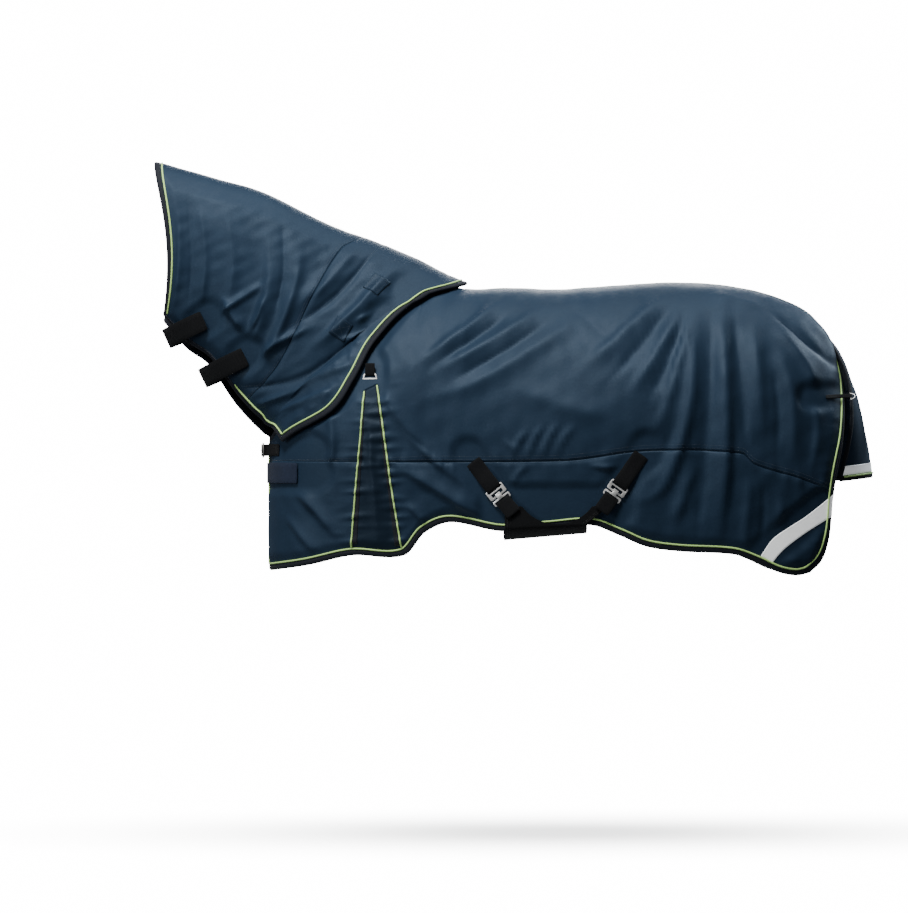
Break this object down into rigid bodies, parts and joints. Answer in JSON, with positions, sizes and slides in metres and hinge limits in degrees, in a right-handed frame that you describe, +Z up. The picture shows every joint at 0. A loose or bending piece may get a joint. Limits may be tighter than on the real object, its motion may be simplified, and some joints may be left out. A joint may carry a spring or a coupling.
{
  "type": "turnout rug",
  "caption": "Padded turnout rug with a fixed neck cover, shoulder gussets, tail flap, hook-and-loop chest band and a belly girth hooked to surcingle straps.",
  "frame": {"origin": "on the top line at the withers, at the height of the horse's back under the lining, on the mid plane", "axes": "+X along the back towards the tail, +Z up, -Y towards the horse's left"},
  "size_m": [2.1856, 0.7229, 1.2554],
  "materials": {
    "navy_shell": "satin",
    "navy_binding": "matte",
    "lining": "satin",
    "wadding": "matte",
    "lime_piping": "satin",
    "black_webbing": "matte",
    "reflective_tape": "satin",
    "satin_metal": "satin"
  },
  "bodies": {
    "rug": {"back_panel": "navy_shell", "belly_girth": "black_webbing", "chest_panel_left": "navy_shell", "chest_panel_right": "navy_shell", "chest_tab_left": "black_webbing", "chest_tab_right": "black_webbing", "edge_binding": "navy_binding", "edge_piping_left": "lime_piping", "edge_piping_right": "lime_piping", "flank_panel_left": "navy_shell", "flank_panel_right": "navy_shell", "front_slot_plate": "satin_metal", "front_surcingle_left": "black_webbing", "front_surcingle_right": "black_webbing", "gusset_left": "navy_shell", "gusset_piping_left": "lime_piping", "gusset_piping_right": "lime_piping", "gusset_right": "navy_shell", "gusset_tab_left": "black_webbing", "gusset_tab_right": "black_webbing", "lining": "lining", "rear_reflector_left": "reflective_tape", "rear_reflector_right": "reflective_tape", "rear_slot_plate": "satin_metal", "rear_surcingle_left": "black_webbing", "rear_surcingle_right": "black_webbing", "snap_eye": "satin_metal", "tail_tab_left": "black_webbing", "tail_tab_right": "black_webbing", "wadding": "wadding"},
    "hood": {"hood_binding": "navy_binding", "hood_front_panel": "navy_shell", "hood_lining": "lining", "hood_patch_lower_left": "navy_binding", "hood_patch_lower_right": "navy_binding", "hood_patch_upper_left": "navy_binding", "hood_patch_upper_right": "navy_binding", "hood_piping_front": "lime_piping", "hood_piping_rear": "lime_piping", "hood_rear_panel": "navy_shell", "hood_wadding": "wadding"},
    "throat_strap_front": {"throat_strap_front": "black_webbing"},
    "throat_strap_rear": {"throat_strap_rear": "black_webbing"},
    "chest_band": {"chest_band": "black_webbing"},
    "chest_ring": {"chest_ring": "satin_metal"},
    "snap": {"chest_snap": "satin_metal"},
    "snap_gate": {"chest_snap_gate": "satin_metal"},
    "front_hook": {"front_hook": "satin_metal", "front_girth_tab": "black_webbing"},
    "rear_hook": {"rear_hook": "satin_metal", "rear_girth_tab": "black_webbing"},
    "front_keeper": {"front_keeper": "satin_metal"},
    "rear_keeper": {"rear_keeper": "satin_metal"},
    "tail_flap": {"tail_flap": "navy_shell", "tail_flap_binding": "navy_binding", "tail_reflector": "reflective_tape"},
    "tail_ring_left": {"tail_ring_left": "satin_metal"},
    "tail_ring_right": {"tail_ring_right": "satin_metal"},
    "gusset_keeper_left": {"gusset_keeper_left": "satin_metal"},
    "gusset_keeper_right": {"gusset_keeper_right": "satin_metal"}
  },
  "joints": [
    {"name": "hood_lift", "type": "hinge", "parent": "rug", "child": "hood", "pos_m": [-0.01, 0, 0.02], "axis": [0, 1, 0], "range_deg": [0, 15]},
    {"name": "throat_strap_front_open", "type": "hinge", "parent": "hood", "child": "throat_strap_front", "pos_m": [-0.78, 0.11437, -0.094], "axis": [0.4229, 0, -0.9062], "range_deg": [0, 90]},
    {"name": "throat_strap_rear_open", "type": "hinge", "parent": "hood", "child": "throat_strap_rear", "pos_m": [-0.655, 0.13203, -0.205], "axis": [0.4338, 0, -0.901], "range_deg": [0, 90]},
    {"name": "chest_band_open", "type": "hinge", "parent": "rug", "child": "chest_band", "pos_m": [-0.49705, 0.18215, -0.55662], "axis": [0, 0, -1], "range_deg": [0, 80]},
    {"name": "chest_ring_swing", "type": "hinge", "parent": "rug", "child": "chest_ring", "pos_m": [-0.6035, 0.035, -0.487], "axis": [0, 0, 1], "range_deg": [0, 2.5]},
    {"name": "snap_swivel", "type": "hinge", "parent": "rug", "child": "snap", "pos_m": [-0.6035, 0, -0.487], "axis": [0, 1, 0], "range_deg": [-8, 8]},
    {"name": "snap_gate_slide", "type": "slide", "parent": "snap", "child": "snap_gate", "axis": [0, -1, 0], "range_m": [0, 0.005], "stiffness_N_per_m": 300},
    {"name": "front_hook_slide", "type": "slide", "parent": "rug", "child": "front_hook", "axis": [-0.6114, 0.0616, 0.7889], "range_m": [0, 0.004]},
    {"name": "rear_hook_slide", "type": "slide", "parent": "rug", "child": "rear_hook", "axis": [0.5795, 0.0159, 0.8149], "range_m": [0, 0.004]},
    {"name": "front_keeper_slide", "type": "slide", "parent": "rug", "child": "front_keeper", "axis": [-0.6114, -0.0616, 0.7889], "range_m": [-0.02, 0.02]},
    {"name": "rear_keeper_slide", "type": "slide", "parent": "rug", "child": "rear_keeper", "axis": [0.5795, -0.0159, 0.8149], "range_m": [-0.02, 0.02]},
    {"name": "tail_flap_lift", "type": "hinge", "parent": "rug", "child": "tail_flap", "pos_m": [1.095, 0, -0.1215], "axis": [0, -1, 0], "range_deg": [0, 85]},
    {"name": "tail_ring_left_swing", "type": "hinge", "parent": "rug", "child": "tail_ring_left", "pos_m": [1.16907, -0.19432, -0.32447], "axis": [0.0195, 0.5278, 0.8491], "range_deg": [-50, 10]},
    {"name": "tail_ring_right_swing", "type": "hinge", "parent": "rug", "child": "tail_ring_right", "pos_m": [1.16907, 0.19432, -0.32447], "axis": [-0.0195, 0.5278, -0.8491], "range_deg": [-50, 10]},
    {"name": "gusset_keeper_left_swing", "type": "hinge", "parent": "rug", "child": "gusset_keeper_left", "pos_m": [-0.27601, -0.24737, -0.25956], "axis": [0.9515, -0.3075, 0], "range_deg": [-60, 0]},
    {"name": "gusset_keeper_right_swing", "type": "hinge", "parent": "rug", "child": "gusset_keeper_right", "pos_m": [-0.27601, 0.24737, -0.25956], "axis": [-0.9515, -0.3075, 0], "range_deg": [-60, 0]}
  ]
}
